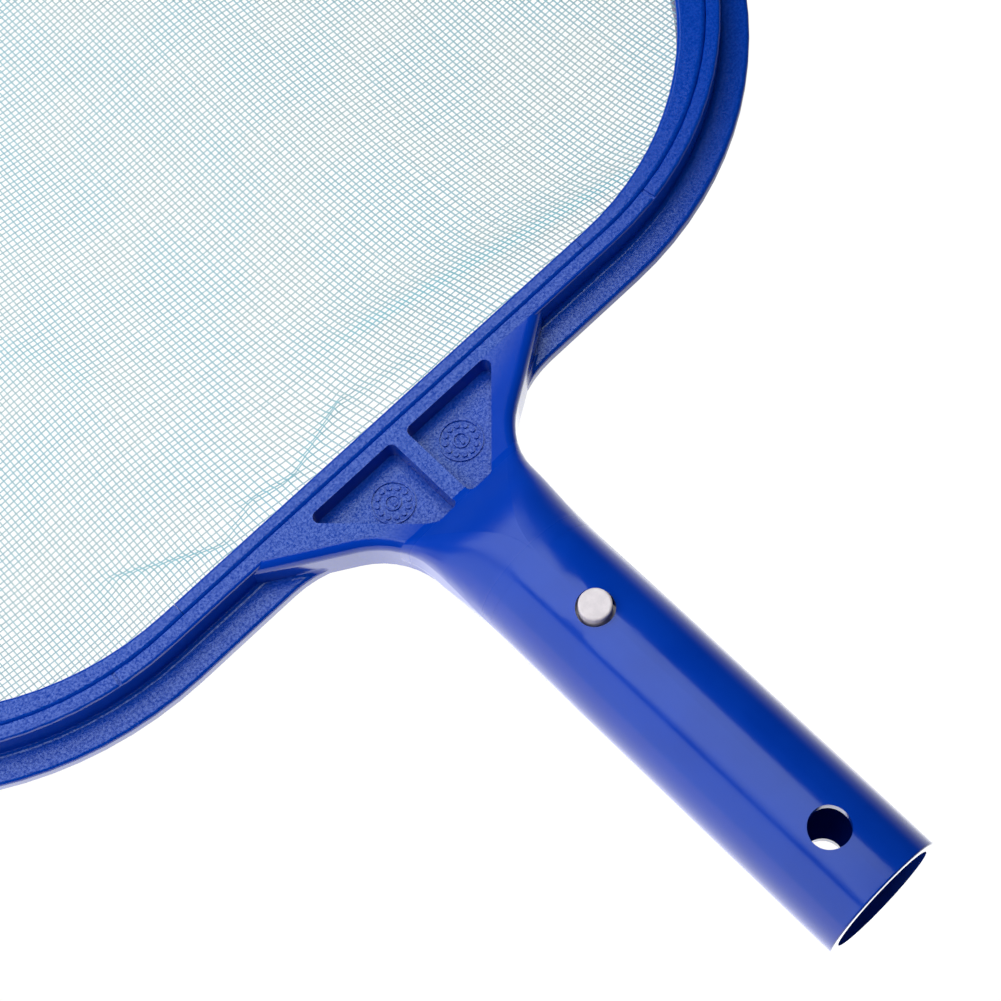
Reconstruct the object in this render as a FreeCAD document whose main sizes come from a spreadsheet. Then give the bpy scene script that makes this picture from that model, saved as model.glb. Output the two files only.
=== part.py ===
"""Leaf skimmer net: a flat moulded hoop with a hollow pole handle, a clamped mesh net and a snap clip.

Frame of the part: origin at the centre of the handle's open end, +Y along the handle towards the net,
+Z up out of the face that carries the net strips. All lengths are in millimetres.
"""

import FreeCAD, Part
import math
import os

import Sketcher

Vector = FreeCAD.Vector

DIMENSIONS = {
    # Opening of the hoop, measured to the inner edge of the bar.
    "opening_rear": (136.2, "inner edge of the bar beside the handle, from the handle's open end"),
    "opening_front": (422.6, "inner edge of the bar at the far end"),
    "base_half": (57.8, "half of the straight stretch beside the handle"),
    "rear_radius": (67.0, "corner radius beside the handle"),
    "side_angle": (87.0, "angle of the side bars to the X axis"),
    "tip_radius": (45.0, "corner radius at the far end"),
    "bow_radius": (450.0, "radius of the bowed far edge"),
    # Seam: where the net strips meet the rail. The strips widen round the corners.
    "strip_rear": (3.3, "inner edge to the seam beside the handle"),
    "strip_front": (5.4, "inner edge to the seam at the far end"),
    "seam_half": (60.6, "half of the seam's straight stretch beside the handle"),
    "seam_rear_radius": (73.3, "seam's corner radius beside the handle"),
    "seam_tip_radius": (52.0, "seam's corner radius at the far end"),
    # Bar: a tall rail outside the seam with a low flange outside the rail.
    "top_level": (4.6, "upper face of the rail and the neck"),
    "under_level": (-5.4, "lower face of the bar"),
    "flange_level": (-2.6, "upper face of the flange"),
    "rail_width": (3.1, "seam to the rail's outer wall"),
    "rim_width": (9.3, "seam to the flange's rim"),
    "rail_round": (0.8, "rounding of the rail's outer top edge"),
    "rim_round": (0.9, "rounding of the flange's rim"),
    "seam_round": (0.2, "rounding of the rail's top edge at the seam"),
    "root_round": (1.0, "fillet between rail and flange"),
    "groove_angle": (9.5, "how far round the seam's rear corner a groove crosses the rail"),
    "groove_width": (0.7, "width of that groove"),
    "groove_depth": (0.4, "depth of that groove"),
    # Seat of the net between the inner edge and the rail.
    "seat_level": (0.9, "ledge under the net"),
    "lip_width": (1.2, "width of that ledge"),
    "channel_end": (3.0, "inner edge to the far wall of the cord channel"),
    "channel_level": (-0.2, "floor of the cord channel"),
    "core_near": (1.9, "inner edge to the near wall of the underside core"),
    "core_far": (1.2, "seam to the far wall of the underside core"),
    "core_level": (-2.4, "ceiling of the underside core"),
    # Neck between the bar and the tube.
    "neck_half": (13.6, "half width where the neck meets the tube"),
    "gusset_reach": (42.6, "half width of the neck inside the rail"),
    "gusset_top": (131.6, "end of the neck inside the rail"),
    "gusset_foot": (113.6, "height where the gusset line would meet the tube's side"),
    "gusset_round": (18.0, "concave radius from the gusset to the tube"),
    "neck_foot": (103.0, "lower end of the neck plate, inside the tube"),
    "neck_edge": (2.6, "rounding of the neck's upper edge"),
    "heel_reach": (28.5, "half width where the rim would meet the gusset line"),
    "heel_round": (25.0, "concave radius from the rim to the gusset"),
    # Pockets and dials between the neck's arms.
    "rib_half": (1.75, "half width of the rib between the pockets"),
    "pocket_top": (130.3, "net side of the pockets"),
    "pocket_foot": (111.0, "handle side of the pockets"),
    "pocket_reach": (25.9, "sharp outer corner of a pocket"),
    "pocket_toe": (7.2, "handle-side corner on the sloping wall"),
    "pocket_floor": (-0.9, "floor of the upper pockets"),
    "back_floor": (-3.0, "floor of the underside pockets"),
    "pocket_round": (1.4, "corner rounding of the pockets"),
    "dial_x": (9.4, "centre of a dial from the middle plane"),
    "dial_y": (122.6, "centre of a dial from the handle's open end"),
    "dial_radius": (4.6, "outer radius of a dial's ring"),
    "dial_line": (0.35, "width of a dial's rings"),
    "dial_mark": (0.55, "radius of a dial's marks"),
    "dial_hub": (1.7, "outer radius of the ring round a dial's arrow"),
    "dial_rise": (0.4, "height of a dial above the pocket floor"),
    # Tube, shoulder and bore.
    "tube_end_radius": (14.0, "outer radius of the straight run that enters the pole"),
    "spigot_length": (66.0, "length of that run, from the open end"),
    "tube_neck_radius": (13.8, "outer radius at the shoulder"),
    "shoulder_start": (90.0, "where the round tube starts to flatten"),
    "shoulder_end": (113.0, "where it has flattened into the neck"),
    "bore_end_radius": (11.9, "bore radius at the open end"),
    "bore_deep_radius": (11.6, "bore radius at the end of its straight run"),
    "bore_straight": (88.0, "depth of the bore's straight run"),
    "bore_tip_radius": (2.4, "radius of the bore's blunt tip"),
    "bore_tip": (106.0, "full depth of the bore"),
    "mouth_round": (0.4, "rounding of the tube's mouth"),
    # Cross holes for the snap clip.
    "near_hole_y": (14.3, "cross hole near the open end"),
    "far_hole_y": (74.6, "cross hole near the neck, which holds the clip"),
    "near_hole_radius": (4.2, "radius of the near cross hole"),
    "far_hole_radius": (3.9, "radius of the far cross hole"),
    "hole_round": (0.3, "rounding of the holes' outer edges"),
    # Strips, net and cord.
    "strip_gap": (0.06, "clearance around a strip"),
    "strip_under": (1.6, "lower face of the strips"),
    "strip_edge": (0.8, "rounding of a strip's inner top edge"),
    "strip_seam_edge": (1.0, "rounding of a strip's outer top edge, at the seam"),
    "joint_half": (55.0, "half of the rear strip's length, where it meets the hoop strip"),
    "joint_gap": (0.05, "half of the gap between their ends"),
    "net_under": (1.0, "lower face of the net panel"),
    "net_upper": (1.4, "upper face of the net panel"),
    "net_overlap": (1.25, "how far the net panel reaches over the ledge"),
    "cord_radius": (0.8, "radius of the cord in the net's hem"),
    "cord_inset": (2.1, "inner edge of the bar to the cord's centre"),
    "cord_level": (0.65, "centre of the cord"),
    # Snap clip: a bend with two sprung legs, each with a button.
    "pivot_y": (34.0, "where a leg flexes, from the open end"),
    "pivot_z": (8.4, "where a leg flexes, from the tube's axis"),
    "leg_thick": (2.0, "thickness of the clip"),
    "leg_width": (7.0, "width of the clip"),
    "leg_tip_y": (81.0, "end of a leg"),
    "leg_tip_z": (9.7, "middle of a leg at its tip"),
    "flex_gap": (0.06, "clearance around a leg's root"),
    "button_radius": (3.3, "radius of a button"),
    "button_top": (15.9, "top of a button from the tube's axis"),
    "button_edge": (0.5, "rounding of a button's top"),
}

# The rounded rectangles that flatten the tube into the neck: share of the way along the shoulder, then
# half width, half height and corner rounding as shares of the tube's neck radius.
SHOULDER_SECTIONS = (
    (0.00, 1.000, 1.000, 0.995),
    (0.20, 1.000, 0.990, 0.95),
    (0.42, 1.010, 0.930, 0.80),
    (0.62, 1.025, 0.780, 0.58),
    (0.80, 1.050, 0.570, 0.38),
    (0.92, 1.110, 0.420, 0.26),
    (1.00, 1.180, 0.332, 0.19),
)

# The marks round a dial, and their distance from its centre as a share of its radius.
DIAL_MARKS = 12
DIAL_MARK_REACH = 0.70

# How far the heels' outline runs past their corner, towards the tube and along the rim.
HEEL_TOE = 8.0
HEEL_RUN = 12.0


class Size:
    """A length with the sheet expression that gives it, so that one formula does for both."""

    def __init__(self, value, text):
        self.value = value
        self.text = text

    def _join(self, other, sign, value):
        return Size(value, f"({self.text} {sign} {as_size(other).text})")

    def __add__(self, other):
        return self._join(other, "+", self.value + as_size(other).value)

    def __sub__(self, other):
        return self._join(other, "-", self.value - as_size(other).value)

    def __mul__(self, other):
        return self._join(other, "*", self.value * as_size(other).value)

    def __neg__(self):
        return self * -1.0


def as_size(number):
    """A plain number as a Size, or the Size itself."""
    if isinstance(number, Size):
        return number
    return Size(float(number), f"{float(number):.6f}")


def sine(degrees):
    return Size(math.sin(math.radians(degrees.value)), f"sin({degrees.text} * 1 deg)")


def cosine(degrees):
    return Size(math.cos(math.radians(degrees.value)), f"cos({degrees.text} * 1 deg)")


ZERO = as_size(0)


class Sizes:
    """Every cell of the sheet as an attribute."""

    def __init__(self, sheet):
        for name in DIMENSIONS:
            setattr(self, name, Size(float(sheet.get(name)), f"{sheet.Name}.{name}"))


def fill_sheet(document):
    """The driving dimensions: a name, a number with an alias, and what it measures."""
    sheet = document.addObject("Spreadsheet::Sheet", "sizes")
    for row, (name, (value, meaning)) in enumerate(DIMENSIONS.items(), start=1):
        sheet.set(f"A{row}", name)
        sheet.set(f"B{row}", str(value))
        sheet.setAlias(f"B{row}", name)
        sheet.set(f"C{row}", meaning)
    document.recompute()
    return sheet


# Bodies, sketches and constraints


def new_body(document, label):
    body = document.addObject("PartDesign::Body", label)
    body.Label = label
    return body


def new_sketch(body, name, role, offset=None):
    """A sketch on one of the body's origin planes, or at an offset along that plane's normal."""
    sketch = body.newObject("Sketcher::SketchObject", name)
    plane = next(item for item in body.Origin.OriginFeatures if item.Role == role)
    sketch.AttachmentSupport = (plane, [""])
    sketch.MapMode = "FlatFace"
    if offset is not None:
        sketch.AttachmentOffset = FreeCAD.Placement(Vector(0, 0, offset.value), FreeCAD.Rotation())
        sketch.setExpression("AttachmentOffset.Base.z", offset.text)
    return sketch


def constrain(sketch, kind, *where, size):
    """A dimension whose value comes from the sheet."""
    index = sketch.addConstraint(Sketcher.Constraint(kind, *where, size.value))
    sketch.setExpression(f"Constraints[{index}]", size.text)


def place_point(sketch, geometry, position, x, y):
    """Hold a point of a sketch element at x, y from the sketch's origin."""
    constrain(sketch, "DistanceX", -1, 1, geometry, position, size=as_size(x))
    constrain(sketch, "DistanceY", -1, 1, geometry, position, size=as_size(y))


def draw_polygon(sketch, corners):
    """A closed outline through corners (x, y) or (x, y, rounding)."""
    first = sketch.GeometryCount
    count = len(corners)
    places = [Vector(as_size(x).value, as_size(y).value, 0) for x, y, *_ in corners]
    for i, place in enumerate(places):
        sketch.addGeometry(Part.LineSegment(place, places[(i + 1) % count]))
    for i in range(count):
        sketch.addConstraint(
            Sketcher.Constraint("Coincident", first + i, 2, first + (i + 1) % count, 1)
        )
    for i, (x, y, *_) in enumerate(corners):
        place_point(sketch, first + i, 1, x, y)
    for i, (_, _, *rounding) in enumerate(corners):
        if rounding:
            arc = sketch.GeometryCount
            sketch.fillet(first + i, 1, rounding[0].value, True, True)
            constrain(sketch, "Radius", arc, size=rounding[0])


def draw_circle(sketch, x, y, radius):
    x, y = as_size(x), as_size(y)
    index = sketch.addGeometry(Part.Circle(Vector(x.value, y.value, 0), Vector(0, 0, 1), radius.value))
    place_point(sketch, index, 3, x, y)
    constrain(sketch, "Radius", index, size=radius)


class Loop:
    """A closed outline round the net: a straight base, four corners, two straight sides, a bowed far edge."""

    def __init__(self, rear, half, rear_radius, front, tip_radius, bow_radius, side_angle):
        self.rear = rear
        self.half = half
        self.rear_radius = rear_radius
        self.front = front
        self.tip_radius = tip_radius
        self.bow_radius = bow_radius
        self.side_angle = side_angle

    def moved(self, outward):
        """The same outline moved outward all round."""
        return Loop(
            self.rear - outward,
            self.half,
            self.rear_radius + outward,
            self.front + outward,
            self.tip_radius + outward,
            self.bow_radius + outward,
            self.side_angle,
        )


def opening_loop(sizes):
    """The hoop's inner edge."""
    return Loop(
        sizes.opening_rear,
        sizes.base_half,
        sizes.rear_radius,
        sizes.opening_front,
        sizes.tip_radius,
        sizes.bow_radius,
        sizes.side_angle,
    )


def seam_loop(sizes):
    """The line where the strips meet the rail."""
    return Loop(
        sizes.opening_rear - sizes.strip_rear,
        sizes.seam_half,
        sizes.seam_rear_radius,
        sizes.opening_front + sizes.strip_front,
        sizes.seam_tip_radius,
        sizes.bow_radius + sizes.strip_front,
        sizes.side_angle,
    )


def draw_loop(sketch, loop):
    """One outline round the net, its elements all tangent."""
    base = loop.half.value
    low = loop.rear.value
    rear = loop.rear_radius.value
    tip = loop.tip_radius.value
    bow = loop.bow_radius.value
    slope = math.radians(loop.side_angle.value)
    along = Vector(math.cos(slope), math.sin(slope), 0)
    inward = Vector(-math.sin(slope), math.cos(slope), 0)

    rear_centre = Vector(base, low + rear, 0)
    side_start = rear_centre - inward * rear
    bow_centre = Vector(0, loop.front.value - bow, 0)
    # The tip corner touches the side bar and the bowed edge: solve for the side's length.
    from_bow = side_start + inward * tip - bow_centre
    reach = from_bow.dot(along)
    side = math.sqrt(reach**2 - from_bow.dot(from_bow) + (bow - tip) ** 2) - reach
    side_end = side_start + along * side
    tip_centre = side_end + inward * tip
    bow_end = bow_centre + (tip_centre - bow_centre).normalize() * bow
    bow_angle = math.atan2(bow_end.y - bow_centre.y, bow_end.x)

    def mirror(point):
        return Vector(-point.x, point.y, 0)

    def arc(centre, radius, start, end):
        circle = Part.Circle(centre, Vector(0, 0, 1), radius)
        return Part.ArcOfCircle(circle, start, end)

    quarter = math.pi / 2
    first = sketch.GeometryCount
    # Counter-clockwise from the base; position 1 is an element's start and 2 its end.
    sketch.addGeometry(Part.LineSegment(Vector(-base, low, 0), Vector(base, low, 0)))
    sketch.addGeometry(arc(rear_centre, rear, -quarter, slope - quarter))
    sketch.addGeometry(Part.LineSegment(side_start, side_end))
    sketch.addGeometry(arc(tip_centre, tip, slope - quarter, bow_angle))
    sketch.addGeometry(arc(bow_centre, bow, bow_angle, math.pi - bow_angle))
    sketch.addGeometry(arc(mirror(tip_centre), tip, math.pi - bow_angle, math.pi + quarter - slope))
    sketch.addGeometry(Part.LineSegment(mirror(side_end), mirror(side_start)))
    sketch.addGeometry(arc(mirror(rear_centre), rear, math.pi + quarter - slope, math.pi + quarter))
    rear_right, side_right, tip_right, far_edge, tip_left, side_left, rear_left = range(
        first + 1, first + 8
    )
    for i in range(8):
        sketch.addConstraint(Sketcher.Constraint("Tangent", first + i, 2, first + (i + 1) % 8, 1))
    sketch.addConstraint(Sketcher.Constraint("Symmetric", first, 1, first, 2, -2))
    sketch.addConstraint(Sketcher.Constraint("Equal", rear_right, rear_left))
    sketch.addConstraint(Sketcher.Constraint("Equal", tip_right, tip_left))
    sketch.addConstraint(Sketcher.Constraint("PointOnObject", far_edge, 3, -2))
    place_point(sketch, first, 2, loop.half, loop.rear)
    constrain(sketch, "Radius", rear_right, size=loop.rear_radius)
    constrain(sketch, "Radius", tip_right, size=loop.tip_radius)
    constrain(sketch, "Radius", far_edge, size=loop.bow_radius)
    constrain(sketch, "DistanceY", -1, 1, far_edge, 3, size=loop.front - loop.bow_radius)
    for side_bar, turn in ((side_right, 1), (side_left, -1)):
        angle = Size(turn * slope, f"{turn} deg * {loop.side_angle.text}")
        constrain(sketch, "Angle", side_bar, size=angle)


# Features


def add_feature(body, kind, name, sketch):
    """A sketch-based feature, made the body's tip. Its sketch is hidden inside the body's tree."""
    feature = body.newObject(f"PartDesign::{kind}", name)
    feature.Profile = sketch
    body.Tip = feature
    return feature


def bind(feature, field, size):
    setattr(feature, field, size.value)
    feature.setExpression(field, size.text)


def extrude(body, kind, name, sketch, length, symmetric=False, reverse=False):
    """A Pad or a Pocket of one length."""
    feature = add_feature(body, kind, name, sketch)
    bind(feature, "Length", length)
    if symmetric:
        feature.SideType = "Symmetric"
    feature.Reversed = reverse
    return feature


def turn_about_tube(body, kind, name, sketch):
    """A full turn of a YZ sketch about the tube's axis, which is that sketch's horizontal axis."""
    feature = add_feature(body, kind, name, sketch)
    feature.ReferenceAxis = (sketch, ["H_Axis"])
    feature.Angle = 360.0
    return feature


def sweep_round(body, loop, name, corners):
    """Sweep a closed section round a loop. Its corners are (outward from the loop, level)."""
    path = new_sketch(body, f"{name}_path", "XY_Plane")
    draw_loop(path, loop)
    section = new_sketch(body, f"{name}_section", "YZ_Plane")
    draw_polygon(section, [(loop.rear - out, level, *more) for out, level, *more in corners])
    pipe = add_feature(body, "AdditivePipe", name, section)
    pipe.Spine = (path, [""])
    return pipe


def extrude_ring(body, kind, name, loops, start, length, reverse=False):
    """A Pad or a Pocket between two loops, from one level up or down."""
    sketch = new_sketch(body, f"{name}_outline", "XY_Plane", offset=start)
    for loop in loops:
        draw_loop(sketch, loop)
    return extrude(body, kind, name, sketch, length, reverse=reverse)


def round_edges(document, body, name, radius, wanted):
    """Fillet the edges of the body's tip for which wanted(edge) is true."""
    document.recompute()
    base = body.Tip
    edges = [f"Edge{i}" for i, edge in enumerate(base.Shape.Edges, start=1) if wanted(edge)]
    if not edges:
        raise RuntimeError(f"{name} found no edge to round")
    fillet = body.newObject("PartDesign::Fillet", name)
    fillet.Base = (base, edges)
    bind(fillet, "Radius", radius)
    body.Tip = fillet


def checked(document, body, before, grows):
    """Recompute, and stop if the last feature didn't add (or remove) material."""
    document.recompute()
    after = body.Shape.Volume
    if (after > before) != grows:
        raise RuntimeError(f"{body.Tip.Name} changed the volume from {before:.1f} to {after:.1f}")
    return after


def mirrored_outline(right_side):
    """A closed outline symmetric about the middle plane, from the corners of its right half."""
    return list(right_side) + [(-x, y, *more) for x, y, *more in reversed(right_side)]


# The moulded frame


def add_neck(document, body, sizes):
    """The Y-shaped plate between bar and tube, with its upper edge rounded."""
    sketch = new_sketch(body, "neck_outline", "XY_Plane", offset=sizes.under_level)
    right_side = [
        (sizes.neck_half, sizes.neck_foot),
        (sizes.neck_half, sizes.gusset_foot, sizes.gusset_round),
        (sizes.gusset_reach, sizes.gusset_top),
    ]
    draw_polygon(sketch, mirrored_outline(right_side))
    extrude(body, "Pad", "neck", sketch, sizes.top_level - sizes.under_level)

    def along_upper_side(edge):
        box = edge.BoundBox
        flat = box.ZLength < 0.01 and abs(box.ZMin - sizes.top_level.value) < 0.01
        return flat and box.YLength > 1

    round_edges(document, body, "neck_edges", sizes.neck_edge, along_upper_side)


def add_heels(document, body, sizes):
    """The flange's inner corners, where its rim runs out into the neck."""
    rim = sizes.opening_rear - sizes.strip_rear - sizes.rim_width
    slope = (sizes.gusset_top - sizes.gusset_foot).value / (sizes.gusset_reach - sizes.neck_half).value
    toe = sizes.heel_reach - HEEL_TOE
    end = sizes.heel_reach + HEEL_RUN
    sketch = new_sketch(body, "heel_outline", "XY_Plane", offset=sizes.under_level)
    for side in (1, -1):
        corners = [
            (toe * side, rim - HEEL_TOE * slope),
            (sizes.heel_reach * side, rim, sizes.heel_round),
            (end * side, rim),
            (end * side, rim + 2),
            (toe * side, rim + 2),
        ]
        draw_polygon(sketch, corners)
    extrude(body, "Pad", "heels", sketch, sizes.flange_level - sizes.under_level)

    def along_rim(edge):
        box = edge.BoundBox
        flat = box.ZLength < 0.01 and abs(box.ZMin - sizes.flange_level.value) < 0.01
        return flat and box.XLength > 1 and box.YMin < rim.value + 0.01

    round_edges(document, body, "heel_edges", sizes.rim_round, along_rim)


def add_bar(body, sizes):
    """The hoop: rail and flange as one section swept round the seam, and the net seat inside them."""
    inside = as_size(-1)
    corners = [
        (inside, sizes.under_level),
        (inside, sizes.seat_level),
        (ZERO, sizes.seat_level),
        (ZERO, sizes.top_level, sizes.seam_round),
        (sizes.rail_width, sizes.top_level, sizes.rail_round),
        (sizes.rail_width, sizes.flange_level, sizes.root_round),
        (sizes.rim_width, sizes.flange_level, sizes.rim_round),
        (sizes.rim_width, sizes.under_level),
    ]
    sweep_round(body, seam_loop(sizes), "bar", corners)
    seat = (opening_loop(sizes), seam_loop(sizes).moved(as_size(-0.2)))
    extrude_ring(body, "Pad", "seat", seat, sizes.under_level, sizes.seat_level - sizes.under_level)


def cut_bar(body, sizes):
    """The channel for the net's cord in the seat, and the core that hollows the bar from below."""
    edge = opening_loop(sizes)
    channel = (edge.moved(sizes.lip_width), edge.moved(sizes.channel_end))
    depth = sizes.seat_level - sizes.channel_level
    extrude_ring(body, "Pocket", "cord_channel", channel, sizes.seat_level, depth)
    core = (edge.moved(sizes.core_near), seam_loop(sizes).moved(sizes.core_far))
    depth = sizes.core_level - sizes.under_level
    extrude_ring(body, "Pocket", "underside_core", core, sizes.under_level, depth, reverse=True)


def cut_rail_grooves(body, sizes):
    """A narrow groove across the rail's top each side of the neck, square to the seam."""
    seam = seam_loop(sizes)
    centre_y = seam.rear + seam.rear_radius
    across = (cosine(sizes.groove_angle), sine(sizes.groove_angle))
    sketch = new_sketch(body, "rail_groove_outline", "XY_Plane", offset=sizes.top_level)
    for side in (1, -1):
        corners = []
        for out, along in ((0, -0.5), (1, -0.5), (1, 0.5), (0, 0.5)):
            reach = seam.rear_radius + sizes.rail_width * out
            offset = sizes.groove_width * along
            x = seam.half + reach * across[1] + offset * across[0]
            y = centre_y - reach * across[0] + offset * across[1]
            corners.append((x * side, y))
        draw_polygon(sketch, corners)
    extrude(body, "Pocket", "rail_grooves", sketch, sizes.groove_depth)


def add_tube(body, sizes):
    """The round handle, a straight run and then a slight draft, and the shoulder that flattens it."""
    sketch = new_sketch(body, "tube_section", "YZ_Plane")
    corners = [
        (ZERO, ZERO),
        (sizes.shoulder_start, ZERO),
        (sizes.shoulder_start, sizes.tube_neck_radius),
        (sizes.spigot_length, sizes.tube_end_radius),
        (ZERO, sizes.tube_end_radius, sizes.mouth_round),
    ]
    draw_polygon(sketch, corners)
    turn_about_tube(body, "Revolution", "tube", sketch)

    sections = []
    for number, (share, wide, tall, rounding) in enumerate(SHOULDER_SECTIONS, start=1):
        place = sizes.shoulder_start + (sizes.shoulder_end - sizes.shoulder_start) * share
        section = new_sketch(body, f"shoulder_section_{number}", "XZ_Plane", offset=-place)
        half_width = sizes.tube_neck_radius * wide
        half_height = sizes.tube_neck_radius * tall
        corner = sizes.tube_neck_radius * rounding
        corners = [
            (half_width, -half_height, corner),
            (half_width, half_height, corner),
            (-half_width, half_height, corner),
            (-half_width, -half_height, corner),
        ]
        draw_polygon(section, corners)
        sections.append(section)
    shoulder = add_feature(body, "AdditiveLoft", "shoulder", sections[0])
    shoulder.Sections = sections[1:]


def cut_bore(body, sizes):
    """The blind bore: a straight run with draft, then a blunt cone under the shoulder."""
    sketch = new_sketch(body, "bore_section", "YZ_Plane")
    corners = [
        (as_size(-1), ZERO),
        (sizes.bore_tip, ZERO),
        (sizes.bore_tip, sizes.bore_tip_radius),
        (sizes.bore_straight, sizes.bore_deep_radius),
        (ZERO, sizes.bore_end_radius),
        (as_size(-1), sizes.bore_end_radius),
    ]
    draw_polygon(sketch, corners)
    turn_about_tube(body, "Groove", "bore", sketch)


def cut_pockets(body, sizes):
    """Two triangular pockets each side of the rib, in the upper face and again in the underside.
    The upper cut starts inside the shoulder, whose foot it trims."""
    above = sizes.tube_neck_radius
    faces = (
        ("upper", above, above - sizes.pocket_floor, False),
        ("under", sizes.under_level, sizes.back_floor - sizes.under_level, True),
    )
    for face, level, depth, reverse in faces:
        sketch = new_sketch(body, f"{face}_pocket_outline", "XY_Plane", offset=level)
        for side in (1, -1):
            corners = [
                (sizes.rib_half * side, sizes.pocket_foot, sizes.pocket_round),
                (sizes.pocket_toe * side, sizes.pocket_foot, sizes.pocket_round),
                (sizes.pocket_reach * side, sizes.pocket_top, sizes.pocket_round),
                (sizes.rib_half * side, sizes.pocket_top, sizes.pocket_round),
            ]
            draw_polygon(sketch, corners)
        extrude(body, "Pocket", f"{face}_pockets", sketch, depth, reverse=reverse)


def add_dials(body, sizes):
    """A raised dial in each upper pocket: an outer ring, a circle of round marks, and an arrow in a hub."""
    sketch = new_sketch(body, "dial_outline", "XY_Plane", offset=sizes.pocket_floor)
    for side in (1, -1):
        x = sizes.dial_x * side
        for ring in (sizes.dial_radius, sizes.dial_hub):
            draw_circle(sketch, x, sizes.dial_y, ring)
            draw_circle(sketch, x, sizes.dial_y, ring - sizes.dial_line)
        for mark in range(DIAL_MARKS):
            angle = 2 * math.pi * mark / DIAL_MARKS
            mark_x = x + sizes.dial_radius * (DIAL_MARK_REACH * math.cos(angle))
            mark_y = sizes.dial_y + sizes.dial_radius * (DIAL_MARK_REACH * math.sin(angle))
            draw_circle(sketch, mark_x, mark_y, sizes.dial_mark)
        arrow = [
            (x - sizes.dial_line, sizes.dial_y - sizes.dial_hub * 0.6),
            (x + sizes.dial_line, sizes.dial_y - sizes.dial_hub * 0.6),
            (x, sizes.dial_y + sizes.dial_hub * 0.7),
        ]
        draw_polygon(sketch, arrow)
    extrude(body, "Pad", "dials", sketch, sizes.dial_rise)


def cut_cross_holes(document, body, sizes):
    """Two holes right across the tube, and the rounding of their outer edges."""
    sketch = new_sketch(body, "cross_hole_outline", "XY_Plane")
    draw_circle(sketch, 0, sizes.near_hole_y, sizes.near_hole_radius)
    draw_circle(sketch, 0, sizes.far_hole_y, sizes.far_hole_radius)
    extrude(body, "Pocket", "cross_holes", sketch, sizes.tube_end_radius * 2.5, symmetric=True)

    def hole_mouth(edge):
        box = edge.BoundBox
        across = 2 * sizes.far_hole_radius.value - 0.1 < box.XLength < 2 * sizes.near_hole_radius.value + 0.1
        outside = max(abs(box.ZMin), abs(box.ZMax)) > sizes.bore_end_radius.value + 0.5
        return across and outside and abs(box.Center.x) < 0.1 and 1 < box.Center.y < 90

    round_edges(document, body, "hole_edges", sizes.hole_round, hole_mouth)


def build_frame(document, sizes):
    body = new_body(document, "frame_and_handle")
    add_neck(document, body, sizes)
    add_heels(document, body, sizes)
    volume = checked(document, body, 0, True)
    for add in (add_bar, add_tube):
        add(body, sizes)
        volume = checked(document, body, volume, True)
    for cut in (cut_bar, cut_rail_grooves, cut_bore, cut_pockets):
        cut(body, sizes)
        volume = checked(document, body, volume, False)
    add_dials(body, sizes)
    volume = checked(document, body, volume, True)
    cut_cross_holes(document, body, sizes)
    checked(document, body, volume, False)
    return body


# The net and what holds it


def rim_of_top(body, level, outer):
    """A test for the outer, or else the inner, edges of the body's flat top."""
    top = next(face for face in body.Tip.Shape.Faces if face.BoundBox.ZMin > level.value - 0.01)
    wires = [wire for wire in top.Wires if wire.isSame(top.OuterWire) == outer]
    rim = [edge for wire in wires for edge in wire.Edges]
    return lambda edge: any(edge.isSame(other) for other in rim)


def build_strip(document, sizes, label, cut_away):
    """A clamping strip in the net seat, flush with the rail: a full ring less one outline."""
    body = new_body(document, label)
    inner = opening_loop(sizes).moved(sizes.strip_gap)
    outer = seam_loop(sizes).moved(-sizes.strip_gap)
    height = sizes.top_level - sizes.strip_under
    extrude_ring(body, "Pad", f"{label}_ring", (inner, outer), sizes.strip_under, height)
    roundings = (("inner", sizes.strip_edge, False), ("seam", sizes.strip_seam_edge, True))
    for name, rounding, is_outer in roundings:
        document.recompute()
        wanted = rim_of_top(body, sizes.top_level, is_outer)
        round_edges(document, body, f"{label}_{name}_edge", rounding, wanted)
    volume = checked(document, body, 0, True)
    sketch = new_sketch(body, f"{label}_joints", "XY_Plane")
    draw_polygon(sketch, mirrored_outline(cut_away))
    extrude(body, "Pocket", f"{label}_cut", sketch, sizes.top_level * 4, symmetric=True)
    checked(document, body, volume, False)
    return body


def build_strips(document, sizes):
    """The rear strip beside the handle, and the hoop strip round the rest of the net."""
    above = sizes.opening_rear + 5
    below = sizes.opening_rear - 10
    beyond = sizes.opening_front
    rear_end = sizes.joint_half - sizes.joint_gap
    hoop_end = sizes.joint_half + sizes.joint_gap
    rest_of_hoop = [(rear_end, above), (rear_end, below), (beyond, below), (beyond, beyond * 2)]
    beside_handle = [(hoop_end, below), (hoop_end, above)]
    return [
        build_strip(document, sizes, "rear_net_strip", rest_of_hoop),
        build_strip(document, sizes, "hoop_net_strip", beside_handle),
    ]


def build_net(document, sizes):
    """The woven panel, as one thin sheet that lies on the ledge all round."""
    body = new_body(document, "mesh_net")
    sketch = new_sketch(body, "net_outline", "XY_Plane", offset=sizes.net_under)
    draw_loop(sketch, opening_loop(sizes).moved(sizes.net_overlap))
    extrude(body, "Pad", "net_sheet", sketch, sizes.net_upper - sizes.net_under)
    checked(document, body, 0, True)
    return body


def build_cord(document, sizes):
    """The cord in the net's hem, which lies in the channel under the strips."""
    body = new_body(document, "net_edge_cord")
    path = new_sketch(body, "cord_path", "XY_Plane")
    draw_loop(path, opening_loop(sizes))
    section = new_sketch(body, "cord_section", "YZ_Plane")
    draw_circle(section, sizes.opening_rear - sizes.cord_inset, sizes.cord_level, sizes.cord_radius)
    cord = add_feature(body, "AdditivePipe", "cord", section)
    cord.Spine = (path, [""])
    checked(document, body, 0, True)
    return body


# The snap clip


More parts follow.
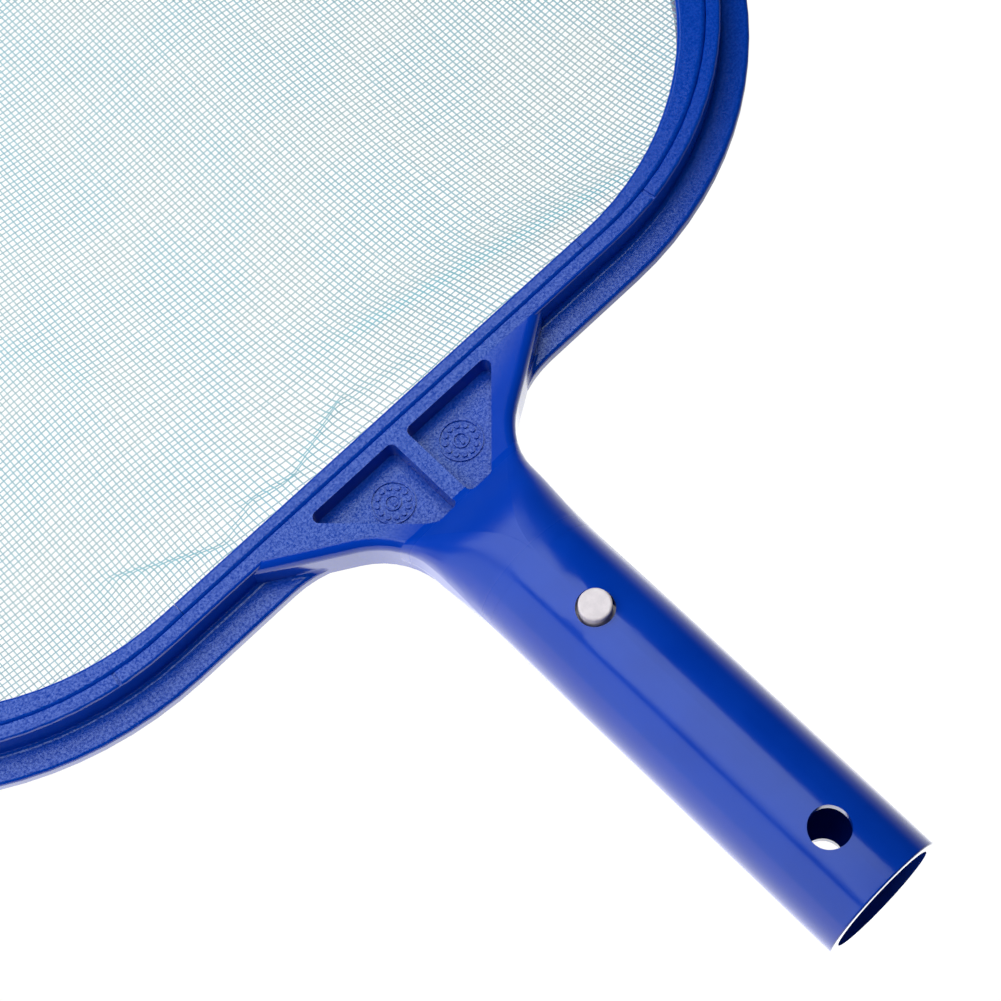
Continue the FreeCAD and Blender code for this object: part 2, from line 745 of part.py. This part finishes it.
def build_bend(document, sizes):
    """The half-round bend of the clip, with a socket at each end for a leg's root."""
    body = new_body(document, "clip_bend")
    half = sizes.leg_thick * 0.5
    ring = new_sketch(body, "bend_ring", "YZ_Plane")
    draw_circle(ring, sizes.pivot_y, 0, sizes.pivot_z + half)
    draw_circle(ring, sizes.pivot_y, 0, sizes.pivot_z - half)
    extrude(body, "Pad", "bend", ring, sizes.leg_width, symmetric=True)
    volume = checked(document, body, 0, True)

    ends = new_sketch(body, "bend_ends", "YZ_Plane")
    reach = sizes.pivot_z * 2
    beyond = [
        (sizes.pivot_y, -reach),
        (sizes.pivot_y + reach, -reach),
        (sizes.pivot_y + reach, reach),
        (sizes.pivot_y, reach),
    ]
    draw_polygon(ends, beyond)
    extrude(body, "Pocket", "bend_open_side", ends, sizes.leg_width * 2, symmetric=True)
    volume = checked(document, body, volume, False)

    sockets = new_sketch(body, "bend_sockets", "YZ_Plane")
    for side in (1, -1):
        draw_circle(sockets, sizes.pivot_y, sizes.pivot_z * side, half + sizes.flex_gap)
    extrude(body, "Pocket", "bend_root_sockets", sockets, sizes.leg_width * 2, symmetric=True)
    checked(document, body, volume, False)
    return body


def build_leg(document, sizes, label, side):
    """One sprung leg with its button; side is 1 for the upper leg and -1 for the lower."""
    body = new_body(document, label)
    half = sizes.leg_thick * 0.5
    outline = new_sketch(body, f"{label}_outline", "YZ_Plane")
    corners = [
        (sizes.pivot_y, (sizes.pivot_z - half) * side),
        (sizes.leg_tip_y, (sizes.leg_tip_z - half) * side),
        (sizes.leg_tip_y, (sizes.leg_tip_z + half) * side),
        (sizes.pivot_y, (sizes.pivot_z + half) * side),
    ]
    draw_polygon(outline, corners)
    extrude(body, "Pad", f"{label}_arm", outline, sizes.leg_width, symmetric=True)
    root = new_sketch(body, f"{label}_root_outline", "YZ_Plane")
    draw_circle(root, sizes.pivot_y, sizes.pivot_z * side, half)
    extrude(body, "Pad", f"{label}_root", root, sizes.leg_width, symmetric=True)
    volume = checked(document, body, 0, True)

    button = new_sketch(body, f"{label}_button_outline", "XY_Plane", offset=sizes.leg_tip_z * side)
    draw_circle(button, 0, sizes.far_hole_y, sizes.button_radius)
    rise = sizes.button_top - sizes.leg_tip_z
    extrude(body, "Pad", f"{label}_button", button, rise, reverse=side < 0)
    checked(document, body, volume, True)

    def button_rim(edge):
        return abs(abs(edge.BoundBox.Center.z) - sizes.button_top.value) < 0.01

    round_edges(document, body, f"{label}_button_edge", sizes.button_edge, button_rim)
    return body


# Checks and output


def check_document(document, bodies):
    """Stop on any failed object, empty or invalid shape, or sub-part that isn't one solid."""
    document.recompute()
    failed = [item.Name for item in document.Objects if {"Invalid", "Error"} & set(item.State)]
    if failed:
        raise RuntimeError(f"failed objects: {failed}")
    for body in bodies:
        shape = body.Shape
        if shape.isNull() or not shape.isValid() or len(shape.Solids) != 1:
            raise RuntimeError(f"{body.Label} is not one valid solid")


def main():
    document = FreeCAD.newDocument("leaf_skimmer_net")
    sizes = Sizes(fill_sheet(document))
    bodies = [build_frame(document, sizes)]
    bodies += build_strips(document, sizes)
    bodies.append(build_net(document, sizes))
    bodies.append(build_cord(document, sizes))
    bodies.append(build_bend(document, sizes))
    bodies.append(build_leg(document, sizes, "upper_clip_leg", 1))
    bodies.append(build_leg(document, sizes, "lower_clip_leg", -1))
    check_document(document, bodies)
    os.makedirs("parts", exist_ok=True)
    for body in bodies:
        body.Shape.exportStep(f"parts/{body.Label}.step")
        print(body.Label, f"{body.Shape.Volume:.1f} mm3", body.Shape.BoundBox)


main()
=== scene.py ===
"""Looks for the leaf skimmer net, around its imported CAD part: materials, woven net, floor, lights, camera.

Frame: metres, origin at the centre of the handle's open end, +Y towards the net, +Z out of the strips' face.
"""

import math

import bpy
import numpy as np
from mathutils import Matrix, Vector


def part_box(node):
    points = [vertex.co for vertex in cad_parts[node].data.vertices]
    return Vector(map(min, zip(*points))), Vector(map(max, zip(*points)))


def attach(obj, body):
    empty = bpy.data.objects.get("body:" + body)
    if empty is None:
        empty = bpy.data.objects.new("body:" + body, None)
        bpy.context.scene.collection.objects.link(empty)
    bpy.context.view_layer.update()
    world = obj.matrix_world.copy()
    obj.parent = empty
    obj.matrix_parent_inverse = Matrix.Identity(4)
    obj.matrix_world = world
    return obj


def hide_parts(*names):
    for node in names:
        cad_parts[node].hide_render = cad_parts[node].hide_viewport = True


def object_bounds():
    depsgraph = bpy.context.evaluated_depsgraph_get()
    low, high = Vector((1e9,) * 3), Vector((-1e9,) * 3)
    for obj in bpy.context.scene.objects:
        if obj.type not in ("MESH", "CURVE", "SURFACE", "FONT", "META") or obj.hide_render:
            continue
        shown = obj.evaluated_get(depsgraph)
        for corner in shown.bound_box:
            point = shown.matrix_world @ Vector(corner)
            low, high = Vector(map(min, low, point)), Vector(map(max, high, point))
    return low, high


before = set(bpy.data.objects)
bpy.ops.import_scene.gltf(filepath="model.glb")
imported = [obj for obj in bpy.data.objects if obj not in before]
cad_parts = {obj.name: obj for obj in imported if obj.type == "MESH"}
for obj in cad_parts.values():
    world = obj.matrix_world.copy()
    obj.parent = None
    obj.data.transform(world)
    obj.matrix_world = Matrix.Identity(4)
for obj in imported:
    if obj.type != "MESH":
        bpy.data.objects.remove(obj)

CAD_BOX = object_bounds()
MM = 0.001
HEAD = "skimmer_head"

# Camera: where it stands, what it looks at, how far it leans from the handle's direction, and its lens.
CAMERA_PLACE = Vector((-106.98, -49.00, 486.61)) * MM
CAMERA_TARGET = Vector((4.68, 105.89, 4.60)) * MM
CAMERA_ROLL = math.radians(46.93)
CAMERA_LENS = 95.13

# Lights, in metres: a softbox over the net and a tall lit card on the left. Each is a name, a place,
# what it faces, width, length and radiance.
LIGHT_COLOR = (0.84, 0.99, 1.0)
WORLD_STRENGTH = 0.0005
WHITE = 1.02
FLOOR_HALF = 6.0
FLOOR_GAP = 0.2 * MM
AREA_LIGHTS = (
    ("overhead_softbox", (-0.0365, 0.28, 0.385), (-0.0365, 0.28, 0.0), 0.503, 0.50, 3.4),
    ("left_card", (-0.80, 0.24, 0.41), (0.0, 0.24, 0.41), 0.66, 0.82, 2.4),
)
# How bright the floor looks in reflections: under and left of the part, and how that fades to the right (mm).
FLOOR_GLOW_LEFT = 2.9
FLOOR_GLOW_MIDDLE = 0.50
FLOOR_GLOW_RIGHT = 0.07

# Net: plain woven threads.
THREAD_PITCH = 1.18 * MM
WARP_RADIUS = 0.17 * MM
WEFT_RADIUS = 0.125 * MM
THREAD_SIDES = 4
LOOM_SEED = 5
THREAD_JITTER = 0.06 * MM
THREAD_WANDER = 0.10 * MM
NET_STEP = 5.0 * MM
FOLD_STEP = 1.5 * MM
FOLD_REACH = 25.0 * MM
NET_LEVEL = 1.2 * MM
NET_TUCK = 0.25 * MM
NET_SAG = 2.0 * MM
NET_MARGIN = 20.0 * MM
OUTLINE_SHARES = 40
FOLD_TINT = 0.65
FOLD_TINT_WIDTH = 1.4
# The net was clamped askew. Its warp leans beside the handle: the sideways shift per length in the right
# half, what the far right adds, the length over which that dies away (mm), and the slow lean back beyond it.
LEAN_RIGHT = -0.52
LEAN_FAR_RIGHT = -0.14
LEAN_LENGTH = 24.0
LEAN_BACK = 0.06
# Its weft slopes down to the right and waves along its length: slope, height and length of the waves (mm).
WEFT_SLOPE = -0.07
WEFT_WAVE = 0.9
WEFT_WAVE_LENGTH = 72.0
# Folds of the slack net beside the rear strip, in millimetres: start, end, width, height, gathering.
FOLDS = (
    ((72, 140), (16, 153), 5.5, 1.3, 1.1),
    ((12, 142), (-4, 145), 1.6, 0.5, 0.35),
    ((-4, 145), (-20, 140), 1.1, 0.8, 0.8),
    ((-20, 140), (-29, 142), 1.0, 0.6, 0.7),
    ((-30, 142), (-38, 139), 1.2, 0.5, 0.4),
    ((-40, 139), (-58, 149), 1.2, 0.9, 0.8),
    ((-42, 205), (-36, 188), 5.0, 0.7, 0.5),
)


# ---------------------------------------------------------------- node helpers

class Shader:
    """A material's node tree with short calls to add nodes and link them."""

    def __init__(self, name):
        self.material = bpy.data.materials.new(name)
        self.material.use_nodes = True
        self.tree = self.material.node_tree
        self.tree.nodes.clear()
        self.output = self.tree.nodes.new("ShaderNodeOutputMaterial")

    def node(self, kind, inputs=None, **settings):
        made = self.tree.nodes.new(kind)
        for name, value in settings.items():
            setattr(made, name, value)
        for name, value in (inputs or {}).items():
            self.feed(made.inputs[name], value)
        return made

    def feed(self, socket, value):
        if isinstance(value, bpy.types.NodeSocket):
            self.tree.links.new(value, socket)
        elif isinstance(value, bpy.types.Node):
            self.tree.links.new(value.outputs[0], socket)
        else:
            socket.default_value = value

    def math(self, operation, first, second=0.0, third=0.0, clamp=False):
        return self.node("ShaderNodeMath", {0: first, 1: second, 2: third}, operation=operation,
                         use_clamp=clamp).outputs[0]

    def place(self):
        """X, Y and Z of the shaded point in millimetres of the part's frame."""
        coordinates = self.node("ShaderNodeTexCoord").outputs["Object"]
        scaled = self.node("ShaderNodeVectorMath", {0: coordinates, 1: (1000, 1000, 1000)},
                           operation="MULTIPLY").outputs[0]
        return scaled, self.node("ShaderNodeSeparateXYZ", {0: scaled}).outputs

    def step(self, value, start, end):
        """0 below start, 1 above end, smooth between."""
        return self.node("ShaderNodeMapRange", {"Value": value, "From Min": start, "From Max": end},
                         interpolation_type="SMOOTHSTEP").outputs[0]

    def noise(self, vector, size, detail=2.0, roughness=0.5):
        """Noise with grains about size millimetres across."""
        return self.node("ShaderNodeTexNoise",
                         {"Vector": vector, "Scale": 1.0 / size, "Detail": detail, "Roughness": roughness}
                         ).outputs["Fac"]

    def mix_color(self, factor, first, second):
        made = self.node("ShaderNodeMix", data_type="RGBA")
        self.feed(made.inputs[0], factor)
        self.feed(made.inputs[6], first)
        self.feed(made.inputs[7], second)
        return made.outputs[2]

    def mix_value(self, factor, first, second):
        made = self.node("ShaderNodeMix", data_type="FLOAT")
        self.feed(made.inputs[0], factor)
        self.feed(made.inputs[2], first)
        self.feed(made.inputs[3], second)
        return made.outputs[0]

    def bump(self, height, distance, strength=1.0, normal=None):
        inputs = {"Height": height, "Distance": distance, "Strength": strength}
        if normal is not None:
            inputs["Normal"] = normal
        return self.node("ShaderNodeBump", inputs).outputs[0]

    def finish(self, **inputs):
        """Ends the tree in one Principled surface."""
        named = {name.replace("_", " "): value for name, value in inputs.items()}
        surface = self.node("ShaderNodeBsdfPrincipled", named)
        self.tree.links.new(surface.outputs[0], self.output.inputs[0])
        return self.material


# ---------------------------------------------------------------- materials

BLUE = (0.0006, 0.037, 0.385, 1.0)
BLUE_LIGHT = (0.0014, 0.042, 0.415, 1.0)
TEXTURE_DARK = (0.0004, 0.032, 0.30, 1.0)
TEXTURE_LIGHT = (0.0030, 0.052, 0.42, 1.0)


def frame_finish(shader, x, y, z, facing_up):
    """Two masks from 0 to 1: where the frame is textured, and where the neck darkens towards the shoulder."""
    across = shader.math("ABSOLUTE", x)
    bar = shader.step(y, 130.0, 130.6)
    flange = shader.math("MULTIPLY", shader.step(y, 120.0, 121.0), shader.step(z, -1.8, -2.2))
    inside = shader.math("MULTIPLY", shader.step(across, 26.5, 26.0), shader.step(y, 110.5, 111.0))
    floor = shader.math("MULTIPLY", inside, shader.step(z, 0.5, 0.0))
    level = shader.math("MULTIPLY", shader.step(facing_up, 0.93, 0.98), shader.step(z, 4.75, 4.65))
    plate = shader.math("MULTIPLY", level, shader.step(y, 112.0, 112.6))
    away_from_shoulder = shader.step(shader.math("MULTIPLY_ADD", x, -0.35, y), 115.0, 127.0)
    textured_plate = shader.math("MAXIMUM", away_from_shoulder, shader.step(across, 2.2, 1.6))
    lower = shader.math("MAXIMUM", flange, floor)
    upper = shader.math("MAXIMUM", bar, shader.math("MULTIPLY", plate, textured_plate))
    textured = shader.math("MAXIMUM", lower, upper)
    textured = shader.math("MULTIPLY", textured, shader.step(facing_up, 0.55, 0.8))
    outside_floor = shader.math("MULTIPLY", plate, shader.step(z, 3.8, 4.4))
    dark = shader.math("MULTIPLY", outside_floor, shader.math("SUBTRACT", 1.0, textured_plate))
    return textured, dark


def blue_plastic(name, is_frame):
    """Royal blue moulded plastic: satin on the handle, with a fine eroded texture on the bar and the neck."""
    shader = Shader(name)
    vector, (x, y, z) = shader.place()
    normal = shader.node("ShaderNodeNewGeometry").outputs["Normal"]
    facing_up = shader.node("ShaderNodeSeparateXYZ", {0: normal}).outputs[2]
    textured, dark = shader.step(facing_up, 0.55, 0.8), 0.0
    if is_frame:
        textured, dark = frame_finish(shader, x, y, z, facing_up)
    grain = shader.step(shader.noise(vector, 0.5, detail=3.0, roughness=0.7), 0.32, 0.68)
    fine = shader.noise(vector, 0.9, detail=2.0)
    cloud = shader.noise(vector, 14.0, detail=3.0)
    smooth_color = shader.mix_color(shader.step(cloud, 0.35, 0.65), BLUE, BLUE_LIGHT)
    rough_color = shader.mix_color(grain, TEXTURE_DARK, TEXTURE_LIGHT)
    shoulder = shader.math("MULTIPLY", shader.step(y, 87.0, 95.0), shader.step(y, 114.0, 110.0))
    satin = shader.mix_value(shoulder, shader.mix_value(cloud, 0.13, 0.20), 0.30)
    rough = shader.mix_value(grain, 0.13, 0.21)
    smooth_gloss = shader.mix_value(dark, 0.31, 0.04)
    rough_gloss = shader.mix_value(grain, 0.08, 0.50)
    height = shader.mix_value(textured, shader.math("MULTIPLY", fine, 0.08), grain)
    return shader.finish(Base_Color=shader.mix_color(textured, smooth_color, rough_color),
                         Roughness=shader.mix_value(textured, satin, rough),
                         Specular_IOR_Level=shader.mix_value(textured, smooth_gloss, rough_gloss),
                         Normal=shader.bump(height, 0.009 * MM), IOR=1.5)


def clip_plastic():
    """Off-white nylon with a faint mottle."""
    shader = Shader("clip_nylon")
    vector, _ = shader.place()
    mottle = shader.noise(vector, 1.6, detail=4.0, roughness=0.6)
    grain = shader.noise(vector, 0.18, detail=2.0)
    color = shader.mix_color(shader.step(mottle, 0.3, 0.7), (0.83, 0.655, 0.685, 1), (0.74, 0.58, 0.61, 1))
    return shader.finish(Base_Color=color, Roughness=shader.mix_value(grain, 0.38, 0.52),
                         Normal=shader.bump(grain, 0.01 * MM), IOR=1.53, Subsurface_Weight=0.15,
                         Subsurface_Radius=(0.002, 0.002, 0.002))


def net_thread():
    """Pale blue-green monofilament, a little see-through, paler in some broad patches and bluer in others."""
    shader = Shader("net_thread")
    vector, _ = shader.place()
    patch = shader.noise(vector, 22.0, detail=3.0, roughness=0.6)
    strand = shader.noise(vector, 0.7, detail=2.0)
    color = shader.mix_color(shader.step(patch, 0.35, 0.65), (0.33, 0.505, 0.575, 1), (0.445, 0.53, 0.56, 1))
    fold = shader.node("ShaderNodeAttribute", attribute_name="fold_tint").outputs["Fac"]
    color = shader.mix_color(fold, color, (0.16, 0.50, 0.60, 1))
    return shader.finish(Base_Color=color, Roughness=shader.mix_value(strand, 0.30, 0.45), IOR=1.5,
                         Normal=shader.bump(strand, 0.01 * MM))


def cord_fibre():
    """Twisted cord of the net's hem."""
    shader = Shader("hem_cord_fibre")
    vector, _ = shader.place()
    strand = shader.noise(vector, 0.35, detail=3.0)
    color = shader.mix_color(strand, (0.42, 0.62, 0.68, 1), (0.62, 0.76, 0.80, 1))
    return shader.finish(Base_Color=color, Roughness=0.75, Normal=shader.bump(strand, 0.08 * MM))


def paint_cad_nodes():
    finishes = {
        "frame_and_handle": blue_plastic("frame_blue", True),
        "rear_net_strip": blue_plastic("strip_blue", False),
        "net_edge_cord": cord_fibre(),
        "clip_bend": clip_plastic(),
    }
    finishes["hoop_net_strip"] = finishes["rear_net_strip"]
    finishes["upper_clip_leg"] = finishes["clip_bend"]
    finishes["lower_clip_leg"] = finishes["clip_bend"]
    for node, material in finishes.items():
        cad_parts[node].data.materials[0] = material


# ---------------------------------------------------------------- net

def net_outline():
    """The net panel's centre, and the reach of its outline from there in each direction, less the tuck."""
    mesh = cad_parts["mesh_net"].data
    points = np.array([vertex.co[:] for vertex in mesh.vertices])[:, :2]
    centre = (points.min(axis=0) + points.max(axis=0)) / 2
    spokes = points - centre
    _, order = np.unique(np.round(np.arctan2(spokes[:, 1], spokes[:, 0]), 5), return_index=True)
    corners = spokes[order]
    sides = np.roll(corners, -1, axis=0) - corners
    shares = np.linspace(0, 1, OUTLINE_SHARES, endpoint=False)[:, None]
    edge = (corners[:, None] + sides[:, None] * shares).reshape(-1, 2)
    reach = np.linalg.norm(edge, axis=1) - NET_TUCK
    return centre, np.arctan2(edge[:, 1], edge[:, 0]), reach


def trim(run, outline):
    """The part of a run of points that lies inside the outline, cut exactly at its edge."""
    centre, angles, reach = outline
    spokes = run[:, :2] - centre
    directions = np.arctan2(spokes[:, 1], spokes[:, 0])
    share = np.linalg.norm(spokes, axis=1) / np.interp(directions, angles, reach, period=2 * math.pi)
    inside = np.flatnonzero(share < 1)
    if len(inside) < 3:
        return None
    first, last = inside[0], inside[-1]
    ends = []
    for edge, beyond in ((first, first - 1), (last, last + 1)):
        blend = (1 - share[edge]) / (share[beyond] - share[edge])
        ends.append(run[edge] + (run[beyond] - run[edge]) * blend)
    return np.concatenate([ends[:1], run[first:last + 1], ends[1:]])


def smooth(value, start, end):
    """0 before start, 1 past end, smooth between."""
    share = np.clip((value - start) / (end - start), 0, 1)
    return share * share * (3 - 2 * share)


def skew(x, y):
    """How far the askew net's threads are moved in x and y (mm); y is measured from the rear strip."""
    slope = LEAN_RIGHT * smooth(x, -40, 10) + LEAN_FAR_RIGHT * smooth(x, 60, 95)
    lean = -slope * LEAN_LENGTH * np.exp(-np.maximum(y, 0) / LEAN_LENGTH)
    back = LEAN_BACK * (y - 60) * (1 - smooth(y, 100, 250))
    slant = WEFT_SLOPE * x + WEFT_WAVE * np.sin((x - 14) * 2 * math.pi / WEFT_WAVE_LENGTH)
    return lean + back, slant


def near_fold(x, y, fold):
    """The fold line's direction, the distance from it, and how much of the fold is left past its ends."""
    (start_x, start_y), (end_x, end_y), width, _, _ = fold
    length = math.hypot(end_x - start_x, end_y - start_y)
    along_x, along_y = (end_x - start_x) / length, (end_y - start_y) / length
    along = (x - start_x) * along_x + (y - start_y) * along_y
    away = (y - start_y) * along_x - (x - start_x) * along_y
    beyond = np.maximum(0, np.maximum(-along, along - length))
    return along_x, along_y, away, np.exp(-(beyond / (2.5 * width)) ** 2)


def add_fold(x, y, level, fold):
    """Gathers the net towards one fold line and lifts it into a ridge there."""
    _, _, width, height, gather = fold
    along_x, along_y, away, strength = near_fold(x, y, fold)
    shift = -gather * np.tanh(away / width) * np.exp(-(away / (4 * width)) ** 2) * strength
    ridge = height * np.exp(-(away / width) ** 2) * strength
    return x - shift * along_y, y + shift * along_x, level + ridge


def fold_tint(run):
    """How strongly the gathered net's colour shows at each point of a run."""
    tint = np.zeros(len(run))
    for fold in FOLDS:
        _, _, away, strength = near_fold(run[:, 0] / MM, run[:, 1] / MM, fold)
        gather = fold[4]
        tint = np.maximum(tint, FOLD_TINT * gather * np.exp(-(away / FOLD_TINT_WIDTH) ** 2) * strength)
    return tint


def drape(points, low, high):
    """Moves flat net points (x, y) to where the slack net hangs; low and high are corners of the net's box."""
    rear, front = low.y / MM, high.y / MM
    x, y = points[:, 0] / MM, points[:, 1] / MM
    shift_x, shift_y = skew(x, y - rear)
    x, y = x + shift_x, y + shift_y
    across = np.clip(np.abs(x) / (high.x / MM), 0, 1)
    along = np.clip((y - rear) / (front - rear), 0, 1)
    sag = NET_SAG / MM * (1 - across ** 2) * np.sin(math.pi * along)
    wave = 0.35 * np.sin(x / 11 + 1.3 * np.sin(y / 23)) * np.sin(y / 17 + 0.8) * np.sin(math.pi * along)
    level = NET_LEVEL / MM - sag + wave
    folded_x, folded_y = x, y
    for fold in FOLDS:
        folded_x, folded_y, level = add_fold(folded_x, folded_y, level, fold)
    free = smooth(y, rear + 1, rear + 6) * smooth(-across, -0.99, -0.93)
    x = x + (folded_x - x) * free
    y = y + (folded_y - y) * free
    level = NET_LEVEL / MM + (level - NET_LEVEL / MM) * free
    return np.column_stack([x, y, level]) * MM


def thread_places(start, end, fine_to):
    """Places along a thread from start to end: close together up to fine_to, then further apart."""
    places = []
    for low, high, step in ((start, min(end, fine_to), FOLD_STEP), (max(start, fine_to), end, NET_STEP)):
        if high > low:
            places.extend(np.linspace(low, high, max(2, round((high - low) / step) + 1)))
    return np.unique(places)


def wander(random, places):
    """A thread's slow sideways wander along its length, plus its own misplacement at the loom."""
    total = np.full(len(places), random.normal(0, THREAD_JITTER))
    for wave_length in (28 * MM, 71 * MM):
        phase = random.uniform(0, 2 * math.pi)
        total += THREAD_WANDER / 2 * np.sin(places * 2 * math.pi / wave_length + phase)
    return total


def tube_mesh(runs, radius, sides):
    """Closed tubes along runs of points, as vertices and faces."""
    vertices, faces, base = [], [], 0
    turn = np.arange(sides) * 2 * math.pi / sides + math.pi / sides
    for run in runs:
        count = len(run)
        along = np.gradient(run, axis=0)
        along /= np.linalg.norm(along, axis=1, keepdims=True)
        side = np.cross(along, (0, 0, 1.0))
        side /= np.linalg.norm(side, axis=1, keepdims=True)
        over = np.cross(side, along)
        rings = (run[:, None, :] + radius * (np.cos(turn)[None, :, None] * side[:, None, :]
                                             + np.sin(turn)[None, :, None] * over[:, None, :]))
        vertices.append(rings.reshape(-1, 3))
        index = base + np.arange(count * sides).reshape(count, sides)
        following = np.roll(index, -1, axis=1)
        quads = np.stack([index[:-1], index[1:], following[1:], following[:-1]], axis=-1)
        faces.extend(quads.reshape(-1, 4).tolist())
        faces.append(index[0].tolist())
        faces.append(index[-1][::-1].tolist())
        base += count * sides
    return np.concatenate(vertices), faces


def net_piece(name, vertices, faces, material):
    """One smooth-shaded family of threads, which rides on the head and stands in for the CAD's net sheet."""
    mesh = bpy.data.meshes.new(name)
    mesh.from_pydata(vertices.tolist(), [], faces)
    mesh.validate()
    mesh.materials.append(material)
    mesh.polygons.foreach_set("use_smooth", [True] * len(mesh.polygons))
    piece = bpy.data.objects.new(name, mesh)
    bpy.context.scene.collection.objects.link(piece)
    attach(piece, HEAD)
    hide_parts("mesh_net")
    return piece


def weave_net():
    """Both families of threads, each as one piece: the warp runs away from the handle, the weft across it."""
    low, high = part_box("mesh_net")
    outline = net_outline()
    material = net_thread()
    random = np.random.default_rng(LOOM_SEED)
    folded = low.y + FOLD_REACH
    families = (("net_warp_threads", 1, WARP_RADIUS), ("net_weft_threads", 0, WEFT_RADIUS))
    for name, along, radius in families:
        across = 1 - along
        start, end = low[along] - NET_MARGIN, high[along] + NET_MARGIN
        lift = radius if along else -radius
        runs = []
        for offset in np.arange(low[across] - NET_MARGIN, high[across] + NET_MARGIN, THREAD_PITCH):
            fine_to = folded if along else (end if offset < folded else start)
            places = thread_places(start, end, fine_to)
            flat = np.empty((len(places), 2))
            flat[:, along] = places
            flat[:, across] = offset + wander(random, places)
            run = trim(drape(flat, low, high), outline)
            if run is not None:
                run[:, 2] += lift
                runs.append(run)
        vertices, faces = tube_mesh(runs, radius, THREAD_SIDES)
        piece = net_piece(name, vertices, faces, material)
        tint = np.concatenate([np.repeat(fold_tint(run), THREAD_SIDES) for run in runs])
        piece.data.attributes.new("fold_tint", "FLOAT", "POINT").data.foreach_set("value", tint)


# ---------------------------------------------------------------- stage

def add_camera():
    data = bpy.data.cameras.new("camera")
    data.lens = CAMERA_LENS
    data.sensor_width = 36.0
    data.clip_start = 0.01
    data.clip_end = 20.0
    camera = bpy.data.objects.new("camera", data)
    bpy.context.scene.collection.objects.link(camera)
    forward = (CAMERA_TARGET - CAMERA_PLACE).normalized()
    reference = Vector((0, 1, 0))
    reference = (reference - forward * reference.dot(forward)).normalized()
    side = forward.cross(reference)
    up = reference * math.cos(CAMERA_ROLL) + side * math.sin(CAMERA_ROLL)
    right = forward.cross(up)
    turn = Matrix((right, up, -forward)).transposed()
    camera.matrix_world = Matrix.Translation(CAMERA_PLACE) @ turn.to_4x4()
    bpy.context.scene.camera = camera


def add_floor():
    """A plain white floor. The camera sees it evenly lit. In reflections it glows like a lit table, less to
    the right. For everything else it is a pale matt surface."""
    shader = Shader("floor_white")
    rays = shader.node("ShaderNodeLightPath").outputs
    _, (x, _, _) = shader.place()
    near = shader.mix_value(shader.step(x, -40.0, 110.0), FLOOR_GLOW_LEFT, FLOOR_GLOW_MIDDLE)
    glow = shader.mix_value(shader.step(x, 110.0, 300.0), near, FLOOR_GLOW_RIGHT)
    diffuse = shader.node("ShaderNodeBsdfDiffuse", {"Color": (0.85, 0.86, 0.88, 1)}).outputs[0]
    reflected = shader.node("ShaderNodeEmission", {"Color": (1, 1, 1, 1), "Strength": glow}).outputs[0]
    white = shader.node("ShaderNodeEmission", {"Color": (1, 1, 1, 1), "Strength": WHITE}).outputs[0]
    seen = diffuse
    for ray, surface in (("Is Glossy Ray", reflected), ("Is Camera Ray", white)):
        mixed = shader.node("ShaderNodeMixShader")
        shader.feed(mixed.inputs[0], rays[ray])
        shader.feed(mixed.inputs[1], seen)
        shader.feed(mixed.inputs[2], surface)
        seen = mixed.outputs[0]
    shader.tree.links.new(seen, shader.output.inputs[0])
    far = FLOOR_HALF
    mesh = bpy.data.meshes.new("floor")
    mesh.from_pydata([(-far, -far, 0), (far, -far, 0), (far, far, 0), (-far, far, 0)], [], [(0, 1, 2, 3)])
    mesh.materials.append(shader.material)
    floor = bpy.data.objects.new("floor", mesh)
    floor.location = (0, 0, CAD_BOX[0].z - FLOOR_GAP)
    bpy.context.scene.collection.objects.link(floor)


def add_area_light(name, place, target, size_x, size_y, radiance):
    data = bpy.data.lights.new(name, "AREA")
    data.shape = "RECTANGLE"
    data.size = size_x
    data.size_y = size_y
    data.energy = radiance * math.pi * size_x * size_y
    data.color = LIGHT_COLOR
    light = bpy.data.objects.new(name, data)
    light.location = place
    light.visible_camera = False
    direction = Vector(target) - Vector(place)
    light.rotation_euler = direction.to_track_quat("-Z", "Y").to_euler()
    bpy.context.scene.collection.objects.link(light)


def add_world():
    """An almost dark studio for light and reflections, plain white to the camera like the floor."""
    world = bpy.data.worlds.new("studio")
    world.use_nodes = True
    tree = world.node_tree
    rays = tree.nodes.new("ShaderNodeLightPath")
    strength = tree.nodes.new("ShaderNodeMapRange")
    strength.inputs["To Min"].default_value = WORLD_STRENGTH
    strength.inputs["To Max"].default_value = WHITE
    background = tree.nodes["Background"]
    background.inputs["Color"].default_value = (1, 1, 1, 1)
    tree.links.new(rays.outputs["Is Camera Ray"], strength.inputs["Value"])
    tree.links.new(strength.outputs[0], background.inputs["Strength"])
    bpy.context.scene.world = world


def main():
    paint_cad_nodes()
    weave_net()
    add_floor()
    add_world()
    for light in AREA_LIGHTS:
        add_area_light(*light)
    add_camera()
    bpy.context.scene.view_settings.view_transform = "Standard"


main()
